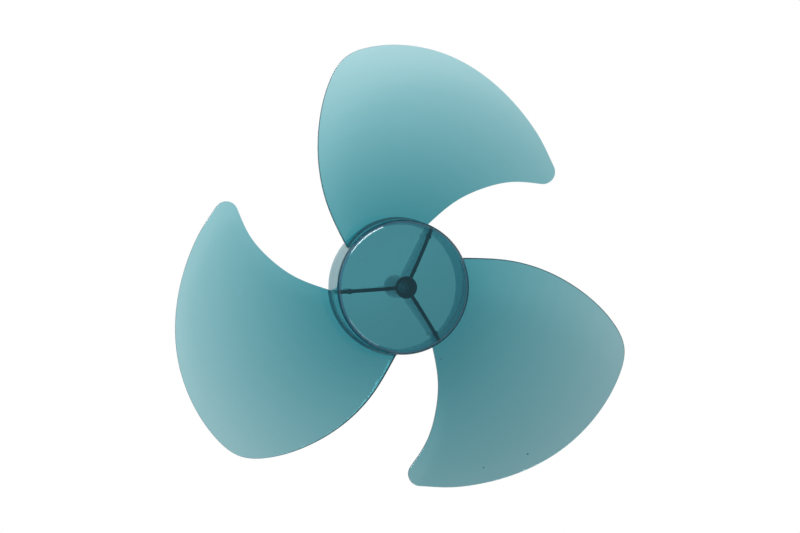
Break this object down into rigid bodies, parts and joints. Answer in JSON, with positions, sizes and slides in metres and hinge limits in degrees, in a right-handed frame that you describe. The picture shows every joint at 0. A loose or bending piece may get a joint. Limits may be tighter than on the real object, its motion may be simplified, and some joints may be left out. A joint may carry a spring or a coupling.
{
  "type": "axial fan impeller",
  "caption": "One-piece moulded fan impeller: wide forward-swept blades round a cup hub with a domed front, inner ribs and a blind-bored shaft boss.",
  "frame": {"origin": "centre of the shaft bore's mouth, on the rotation axis", "axes": "+Z along the shaft towards the domed front; the impeller lies on its hub's open rim, and X and Y are in the plane of rotation, with one blade's middle along +Y"},
  "size_m": [0.3207, 0.3121, 0.0423],
  "materials": {
    "tinted_plastic": "polished translucent teal, see-through where thin"
  },
  "bodies": {
    "root": {"fan_impeller": "tinted_plastic"}
  },
  "joints": []
}
